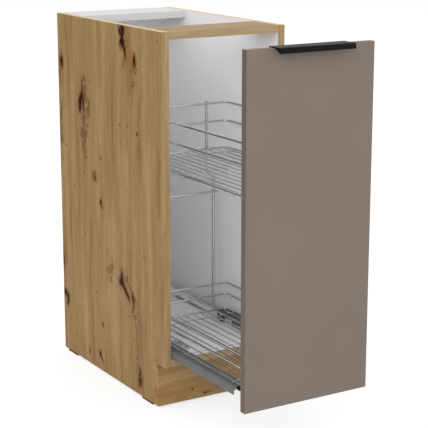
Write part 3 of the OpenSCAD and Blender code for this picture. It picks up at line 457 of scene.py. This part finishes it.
finishes = {
    "side_left": oakLeft, "side_right": oakRight, "plinth": oakPlinth, "top_rail_front": oakRail,
    "edge_bands": edgeBand, "bottom_panel": whiteBoard, "top_rail_rear": shadedWhiteRail, "back_panel": whiteBack,
    "front_panel": taupeFront, "dowels": beech,
    "handle": plated["blackPowderCoat"], "glides": plated["blackNylon"], "slide_caps": plated["blackNylon"],
    "damper_catch": plated["blackNylon"], "roller_left": plated["blackNylon"],
    "roller_right": plated["blackNylon"], "damper_housing": plated["greyAcetal"],
    "front_bumpers": plated["clearBumper"], "carrier_left": plated["greyCoatedSteel"],
    "carrier_right": plated["greyCoatedSteel"],
}
# The other nodes by how their names start; what is left over is zinc plated
byStart = [
    (("lower_", "upper_", "rear_", "bracket_left", "bracket_right"), "brightChromeWire"),
    (("slide_outer", "slide_seats"), "whiteCoatedSlide"),
    (("slide_", "cage_"), "rolledSlideSteel"),
    (("",), "zincPlatedSteel"),
]
for name, obj in nodes.items():
    mat = finishes.get(name)
    for starts, surface in byStart:
        if mat is None and name.startswith(starts):
            mat = plated[surface]
    dress(obj, mat)


def bevelLive(obj, radius, segments, clamp):
    bevel = obj.modifiers.new("edge", "BEVEL")
    bevel.width = radius * mm
    bevel.segments = segments
    bevel.limit_method = "ANGLE"
    bevel.angle_limit = math.radians(50)
    bevel.use_clamp_overlap = clamp
    return bevel


# Broken edges: boards, pull and slide caps have a small radius in mm that catches the light
edgeRadius = {
    "side_left": 0.3, "side_right": 0.3, "plinth": 0.4, "top_rail_front": 0.3, "top_rail_rear": 0.3,
    "front_panel": 0.9, "handle": 0.4, "bottom_panel": 0.3, "slide_caps": 0.5,
}
mergeGap = 0.001 * mm
for name, radius in edgeRadius.items():
    weld = nodes[name].modifiers.new("join", "WELD")
    weld.merge_threshold = mergeGap
    bevelLive(nodes[name], radius, 3, False)
print("edges: %d nodes rounded" % len(edgeRadius))


def select(*pieces):
    # leaves only these selected, with the first of them active; with none given, nothing is selected
    bpy.ops.object.select_all(action="DESELECT")
    for piece in pieces:
        piece.select_set(True)
    if pieces:
        bpy.context.view_layer.objects.active = pieces[0]


def startPiece(name):
    obj = bpy.context.object
    obj.name = name
    obj.data.name = name
    return obj


def pick(obj, kind, test):
    # in edit mode: selects the vertices, edges or faces that pass the test
    mesh = bmesh.from_edit_mesh(obj.data)
    mesh.normal_update()
    bpy.context.tool_settings.mesh_select_mode = (kind == "VERT", kind == "EDGE", kind == "FACE")
    for part in (*mesh.verts, *mesh.edges, *mesh.faces):
        part.select = False
    chosen = {"VERT": mesh.verts, "EDGE": mesh.edges, "FACE": mesh.faces}[kind]
    for part in [p for p in chosen if test(p)]:
        part.select_set(True)
    mesh.select_flush_mode()
    bmesh.update_edit_mesh(obj.data)


pickGap = 0.1 * mm  # how near a vertex lies to the place that it is picked by


def bevelEdges(obj, test, width, segments):
    # bevels the edges of the active object that pass the test
    bpy.ops.object.mode_set(mode="EDIT")
    pick(obj, "EDGE", test)
    bpy.ops.mesh.bevel(offset=width, segments=segments, affect="EDGES")
    bpy.ops.object.mode_set(mode="OBJECT")


def roundCorners(block, radius):
    # the upright edges, with a radius in mm
    bevelEdges(block, lambda e: abs(e.verts[0].co.z - e.verts[1].co.z) > pickGap, radius * mm, 5)


def cutOut(block, cutter):
    cut = block.modifiers.new("cut", "BOOLEAN")
    cut.object = cutter
    bpy.context.view_layer.objects.active = block
    bpy.ops.object.modifier_apply(modifier=cut.name)
    bpy.data.objects.remove(cutter)


def middle(low, high):
    return [(low[i] + high[i]) / 2 for i in range(3)]


def addBlock(name, a, b):
    # a box between two corners
    select()
    bpy.ops.mesh.primitive_cube_add(size=1, location=middle(a, b))
    block = startPiece(name)
    block.scale = [b[i] - a[i] for i in range(3)]
    bpy.ops.object.transform_apply(location=True, rotation=True, scale=True)
    return block


def settle(obj):
    # place, turn and scale go into the mesh, and rounded parts shade smoothly
    select(obj)
    bpy.ops.object.transform_apply(location=True, rotation=True, scale=True)
    bpy.ops.object.shade_smooth_by_angle(angle=math.radians(40))
    return obj


def copyTo(model, places):
    # one copy with its own mesh for each place and turn about Z, then joined to one piece
    copies = []
    for x, y, z, turn in places:
        twin = model.copy()
        twin.data = model.data.copy()
        bpy.context.scene.collection.objects.link(twin)
        twin.location = (x, y, z)
        twin.rotation_euler = (0, 0, math.radians(turn))
        copies.append(twin)
    select(*copies)
    bpy.ops.object.join()
    return settle(bpy.context.object)


def looseParts(nodeName):
    # boxes of the separate solids of a CAD node, found on a merged copy
    copy = nodes[nodeName].copy()
    copy.data = nodes[nodeName].data.copy()
    bpy.context.scene.collection.objects.link(copy)
    select(copy)
    bpy.ops.object.mode_set(mode="EDIT")
    bpy.ops.mesh.select_all(action="SELECT")
    bpy.ops.mesh.remove_doubles(threshold=mergeGap)
    bpy.ops.mesh.separate(type="LOOSE")
    bpy.ops.object.mode_set(mode="OBJECT")
    found = []
    for part in list(bpy.context.selected_objects):
        corners = [vertex.co for vertex in part.data.vertices]
        low = [min(c[i] for c in corners) for i in range(3)]
        high = [max(c[i] for c in corners) for i in range(3)]
        found.append((low, high))
        bpy.data.objects.remove(part)
    return found


# Weld spots of the baskets: a squeezed bead with a spread foot where two wires cross
weldSpot = {"radius": 2.2, "flat": 0.8, "foot": 1.35}
select()
bpy.ops.mesh.primitive_uv_sphere_add(segments=8, ring_count=6, radius=weldSpot["radius"] * mm)
bead = startPiece("weldBead")
bpy.ops.object.mode_set(mode="EDIT")
bpy.ops.mesh.select_all(action="SELECT")
bpy.ops.transform.resize(value=(1, 1, weldSpot["flat"]), center_override=(0, 0, 0))
pick(bead, "VERT", lambda v: abs(v.co.z) < pickGap)
bpy.ops.transform.resize(value=(weldSpot["foot"], weldSpot["foot"], 1), center_override=(0, 0, 0))
bpy.ops.object.mode_set(mode="OBJECT")

# Rounded wire end: half a bead that closes a cut wire
wireEnd = {"radius": 1.5, "length": 0.8}
select()
bpy.ops.mesh.primitive_uv_sphere_add(segments=12, ring_count=8, radius=wireEnd["radius"] * mm)
cap = startPiece("wireCap")
bpy.ops.object.mode_set(mode="EDIT")
bpy.ops.mesh.select_all(action="SELECT")
bpy.ops.mesh.bisect(plane_co=(0, 0, 0), plane_no=(0, 1, 0), clear_inner=True, use_fill=True)
bpy.ops.mesh.select_all(action="SELECT")
bpy.ops.transform.resize(value=(1, wireEnd["length"], 1), center_override=(0, 0, 0))
bpy.ops.object.mode_set(mode="OBJECT")

uprightRadius = 3.5 * mm
for basket in ("lower", "upper"):
    wires = looseParts(basket + "_floor")
    lengthwise = [w for w in wires if w[1][1] - w[0][1] > w[1][0] - w[0][0]]
    crosswise = [w for w in wires if w not in lengthwise]
    rimLow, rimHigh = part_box(basket + "_base_rim")
    rimX = rimHigh[0] - (rimHigh[2] - rimLow[2]) / 2  # the middle of the rim's wire
    beads, ends = [], []
    for low, high in crosswise:
        y, z = middle(low, high)[1:]
        for crossed in lengthwise:
            crossX, crossZ = middle(*crossed)[::2]
            beads.append((crossX, y, crossZ, 0))
        beads += [(side * rimX, y, high[2], 0) for side in (-1, 1)]
        ends += [(high[0], y, z, -90), (low[0], y, z, 90)]
    for low, high in lengthwise:
        x, z = middle(low, high)[::2]
        ends += [(x, high[1], z, 0), (x, low[1], z, 180)]
    # the uprights are welded to the rear of the rims; their wire lies at the outer side of their box low
    # down and, past the bend, at the inner side
    for side, upright in ((-1, "rear_upright_left"), (1, "rear_upright_right")):
        innerEdge, outerEdge = sorted((corner[0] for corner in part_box(upright)), key=abs)
        wireX = outerEdge - side * uprightRadius if basket == "lower" else innerEdge + side * uprightRadius
        for rim in ("base", "middle", "top"):
            ringLow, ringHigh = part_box(basket + "_" + rim + "_rim")
            beads.append((wireX, ringHigh[1], (ringLow[2] + ringHigh[2]) / 2, 0))
    welds = copyTo(bead, beads)
    welds.name = basket + "WeldSpots"
    tips = copyTo(cap, ends)
    tips.name = basket + "WireEnds"
    # the weld spots take the near-white chrome: a painted highlight where the wires cross
    for piece, surface in ((welds, "frostedHighlightWeld"), (tips, "brightChromeWire")):
        dress(piece, plated[surface])
        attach(piece, "pullout")
bpy.data.objects.remove(bead)
bpy.data.objects.remove(cap)
print("baskets: weld spots and rounded wire ends")

# Screws of the brackets, seen from inside the baskets: pan heads with a domed rim and a cross recess. Sizes
# in mm; the dome is a share of the head's height, and the recess's arms are shares of its radius
bracketScrew = {"headHigh": 2.4, "dome": 0.42, "shank": 2.0, "armLong": 1.15, "armWide": 0.26, "armDeep": 1.8}
cadScrews = looseParts("bracket_screws")
low, high = cadScrews[0]
headRadius = (high[0] - low[0]) / 2
headHigh = bracketScrew["headHigh"] * mm
shankLong = high[1] - low[1] - headHigh
# the model stands head up with its seat at Z 0, until it is turned to face the rear
select()
bpy.ops.mesh.primitive_cylinder_add(vertices=32, radius=headRadius, depth=headHigh,
                                    location=(0, 0, headHigh / 2))
head = startPiece("panHead")
bpy.ops.object.transform_apply(location=True, rotation=True, scale=True)
bevelEdges(head, lambda e: all(v.co.z > headHigh - pickGap for v in e.verts),
           bracketScrew["dome"] * headHigh, 4)
bpy.ops.object.mode_set(mode="EDIT")
pick(head, "FACE", lambda f: f.normal.z < -0.9)
bpy.ops.mesh.inset(thickness=headRadius - bracketScrew["shank"] * mm, depth=0)
bpy.ops.mesh.extrude_region_move(TRANSFORM_OT_translate={"value": (0, 0, -shankLong)})
bpy.ops.object.mode_set(mode="OBJECT")
for turn in (0, 90):
    select()
    bpy.ops.mesh.primitive_cube_add(size=1, location=(0, 0, headHigh), rotation=(0, 0, math.radians(turn)))
    arm = startPiece("recessArm")
    arm.scale = (bracketScrew["armLong"] * headRadius, bracketScrew["armWide"] * headRadius,
                 bracketScrew["armDeep"] * mm)
    cutOut(head, arm)
head.rotation_euler = (math.radians(-90), 0, 0)
settle(head)
places = []
for low, high in cadScrews:
    x, z = middle(low, high)[::2]
    places.append((x, high[1] - headHigh, z, 0))
screws = copyTo(head, places)
screws.name = "bracketScrewHeads"
dress(screws, plated["zincPlatedSteel"])
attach(screws, "pullout")
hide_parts("bracket_screws")
bpy.data.objects.remove(head)

# Roller: a turned nylon wheel with a rounded tread and a bore for its pin. Its profile is spun about the pin
roller = {"bore": 1.6, "tread": 0.7, "segments": 40}
for side in ("left", "right"):
    low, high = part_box("roller_" + side)
    centre = middle(low, high)
    radius = (high[2] - low[2]) / 2
    wallHigh = radius - roller["bore"] * mm
    select()
    wallMiddle = centre[2] + radius - wallHigh / 2
    bpy.ops.mesh.primitive_plane_add(size=1, location=(centre[0], centre[1], wallMiddle),
                                     rotation=(math.radians(90), 0, 0))
    wheel = startPiece("rollerWheel" + side.capitalize())
    wheel.scale = (high[0] - low[0], wallHigh, 1)
    bpy.ops.object.transform_apply(location=True, rotation=True, scale=True)
    bpy.ops.object.mode_set(mode="EDIT")
    pick(wheel, "VERT", lambda v: v.co.z > centre[2] + radius - pickGap)
    bpy.ops.mesh.bevel(offset=roller["tread"] * mm, segments=4, affect="VERTICES")
    bpy.ops.mesh.select_all(action="SELECT")
    bpy.ops.mesh.spin(steps=roller["segments"], angle=math.radians(360), center=centre, axis=(1, 0, 0))
    bpy.ops.mesh.select_all(action="SELECT")
    bpy.ops.mesh.remove_doubles(threshold=0.01 * mm)
    bpy.ops.mesh.normals_make_consistent(inside=False)
    bpy.ops.object.mode_set(mode="OBJECT")
    settle(wheel)
    dress(wheel, plated["blackNylon"])
    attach(wheel, "roller_" + side)
    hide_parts("roller_" + side)

# Glides: moulded pads with round corners and a chamfered foot, each with two studs that sit in the panel.
# Sizes in mm
glide = {"corner": 2.2, "foot": 0.5, "stud": 1.5, "studTip": 0.5, "studAt": 13}
cadPads = looseParts("glides")
low, high = cadPads[0]
halfX = (high[0] - low[0]) / 2
halfY = (high[1] - low[1]) / 2
pad = addBlock("glidePad", (-halfX, -halfY, 0), (halfX, halfY, sideBottom))
roundCorners(pad, glide["corner"])
bevelEdges(pad, lambda e: all(v.co.z < pickGap for v in e.verts), glide["foot"] * mm, 2)
for side in (-1, 1):
    select()
    bpy.ops.mesh.primitive_cylinder_add(vertices=16, radius=glide["stud"] * mm, depth=high[2] - sideBottom,
                                        location=(0, side * glide["studAt"] * mm, (high[2] + sideBottom) / 2))
    stud = startPiece("glideStud")
    bevelEdges(stud, lambda e: all(v.co.z > 0 for v in e.verts), glide["studTip"] * mm, 2)
    select(pad, stud)
    bpy.ops.object.join()
places = []
for low, high in cadPads:
    x, y = middle(low, high)[:2]
    places.append((x, y, 0, 0))
feet = copyTo(pad, places)
feet.name = "glidePads"
dress(feet, plated["blackNylon"])
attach(feet, "carcass")
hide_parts("glides")
bpy.data.objects.remove(pad)

# Soft-close housing: a moulded box with a deep catch slot, a shallow ribbed tray and a flange. Sizes in mm
housing = {
    "corner": 4.5, "pocketCorner": 2, "edge": 0.6, "flangeWide": 14, "flangeLap": 6, "flangeHigh": 3,
    "slotAt": 5.3, "slotWide": 6.5, "slotLong": 38, "slotDeep": 7.6,
    "trayWall": 1.6, "trayRim": 1.8, "trayFront": 5, "trayRear": 12, "trayDeep": 3.2,
    "ribAt": (14, 23, 32), "ribWide": 1, "ribLow": 1.2,
}
low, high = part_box("damper_housing")
bodyRight = high[0] - housing["flangeWide"] * mm
slotX = low[0] + housing["slotAt"] * mm
slotHalf = housing["slotWide"] / 2 * mm
trayLeft = slotX + slotHalf + housing["trayWall"] * mm
trayRight = bodyRight - housing["trayRim"] * mm
trayFloor = high[2] - housing["trayDeep"] * mm
proud = 1 * mm  # how far the cutters stand out
body = addBlock("softCloseBody", low, (bodyRight, high[1], high[2]))
roundCorners(body, housing["corner"])
pockets = {
    "slotCutter": ((slotX - slotHalf, low[1] - proud, high[2] - housing["slotDeep"] * mm),
                   (slotX + slotHalf, low[1] + housing["slotLong"] * mm, high[2] + proud)),
    "trayCutter": ((trayLeft, low[1] + housing["trayFront"] * mm, trayFloor),
                   (trayRight, high[1] - housing["trayRear"] * mm, high[2] + proud)),
}
for name, (a, b) in pockets.items():
    cutter = addBlock(name, a, b)
    roundCorners(cutter, housing["pocketCorner"])
    cutOut(body, cutter)
flange = addBlock("softCloseFlange", (bodyRight - housing["flangeLap"] * mm, low[1], low[2]),
                  (high[0], high[1], low[2] + housing["flangeHigh"] * mm))
roundCorners(flange, housing["corner"])
for ribAt in housing["ribAt"]:
    y = low[1] + ribAt * mm
    rib = addBlock("trayRib", (trayLeft, y, trayFloor),
                   (trayRight, y + housing["ribWide"] * mm, high[2] - housing["ribLow"] * mm))
    select(flange, rib)
    bpy.ops.object.join()
select(body, flange)
bpy.ops.object.join()
bevel = bevelLive(body, housing["edge"], 2, True)
bpy.ops.object.modifier_apply(modifier=bevel.name)
settle(body)
body.name = "softCloseHousing"
dress(body, plated["greyAcetal"])
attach(body, "carcass")
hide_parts("damper_housing")
print("pieces: screws, rollers, glides and soft-close housing")


def grey(level):
    return (level, level, level, 1)


def plainRays(holder):
    # 1 for the rays that show the background plain: from the camera, off a mirror or through glass
    rays = addNode(holder, "LightPath").node.outputs
    plain = addNode(holder, "Math", {0: rays["Is Camera Ray"], 1: rays["Is Glossy Ray"]}, operation="MAXIMUM")
    return addNode(holder, "Math", {0: plain, 1: rays["Is Transmission Ray"]}, operation="MAXIMUM")


# Pale floor, size in m. To the camera it is a shade that keeps a soft shadow plus a glow that melts it into
# the white background; the object sees only its bounce
studioFloor = {"size": 14, "shade": 0.42, "glow": 0.68, "bounce": 0.8}
select()
bpy.ops.mesh.primitive_plane_add(size=studioFloor["size"], location=(0, 0, 0))
floor = startPiece("studioFloor")
floorMat = bpy.data.materials.new("paleFloor")
floorMat.use_nodes = True
floorMat.node_tree.nodes.clear()
plain = plainRays(floorMat)
shadowed = addNode(floorMat, "BsdfDiffuse", {"Color": grey(studioFloor["shade"])})
glow = addNode(floorMat, "Emission", {"Color": grey(1), "Strength": studioFloor["glow"]})
shown = addNode(floorMat, "AddShader", {0: shadowed, 1: glow})
bounce = addNode(floorMat, "BsdfDiffuse", {"Color": grey(studioFloor["bounce"])})
surface = addNode(floorMat, "MixShader", {0: plain, 1: bounce, 2: shown})
addNode(floorMat, "OutputMaterial", {"Surface": surface})
dress(floor, floorMat)

# Room light: soft and even, white to the camera and to mirrors
roomLight = 0.96
world = bpy.data.worlds.new("studioRoom")
bpy.context.scene.world = world
world.use_nodes = True
world.node_tree.nodes.clear()
level = addNode(world, "MapRange", {0: plainRays(world), 3: roomLight, 4: 1.0})
sky = addNode(world, "Background", {"Color": grey(1), "Strength": level})
addNode(world, "OutputWorld", {"Surface": sky})

# Soft box on the left of the front: place and aim in m, size in m, power in W
softBox = {"at": (-2.4, -2.6, 2.4), "aim": (0, 0, 0.4), "size": 2.2, "power": 28}
lamp = bpy.data.lights.new("softBox", "AREA")
lamp.size = softBox["size"]
lamp.energy = softBox["power"]
lampObj = bpy.data.objects.new("softBox", lamp)
bpy.context.scene.collection.objects.link(lampObj)
lampObj.location = softBox["at"]
aim = [softBox["aim"][i] - softBox["at"][i] for i in range(3)]
lampObj.rotation_euler = (math.atan2(math.hypot(aim[0], aim[1]), -aim[2]), 0, math.atan2(-aim[0], aim[1]))

# Grey card behind on the left: only mirrors see it, and it gives the chrome its dark side. Place and size in
# m, turn in degrees, patches of its second tone in mm
studioCard = {"at": (-1.15, 0.55, 0.91), "turn": 58, "size": (3.4, 1.8), "tone": "#5a5a5a",
              "second": "#555555", "patch": 300}
select()
bpy.ops.mesh.primitive_plane_add(size=1, location=studioCard["at"],
                                 rotation=(math.radians(90), 0, math.radians(studioCard["turn"])))
card = startPiece("studioCard")
card.scale = (*studioCard["size"], 1)
settle(card)
cardMat, shader, place = startMaterial("greyCard", {"Roughness": 0.9})
patches = speckle(cardMat, place, [studioCard["patch"]] * 3)
paper = paint(cardMat, studioCard["tone"], [(patches, studioCard["second"])])
dress(card, finishMaterial(cardMat, shader, paper))
card.visible_camera = False
card.visible_diffuse = False
card.visible_shadow = False
card.visible_transmission = False

# Camera: a long lens left of the front, above the worktop's height, looking down at the middle. Place in m,
# turn and tilt in degrees, lens and sensor in mm
camera = {"at": (-1.518, -2.539, 1.1186), "turn": 31.256, "tilt": -13.537, "lens": 116.5, "sensor": 36}
cameraData = bpy.data.cameras.new("photoCamera")
cameraData.lens = camera["lens"]
cameraData.sensor_width = camera["sensor"]
cameraObj = bpy.data.objects.new("photoCamera", cameraData)
bpy.context.scene.collection.objects.link(cameraObj)
cameraObj.location = camera["at"]
cameraObj.rotation_euler = (math.radians(90 + camera["tilt"]), 0, -math.radians(camera["turn"]))
bpy.context.scene.camera = cameraObj
bpy.context.scene.view_settings.view_transform = "Standard"
print("stage: floor, light and camera")
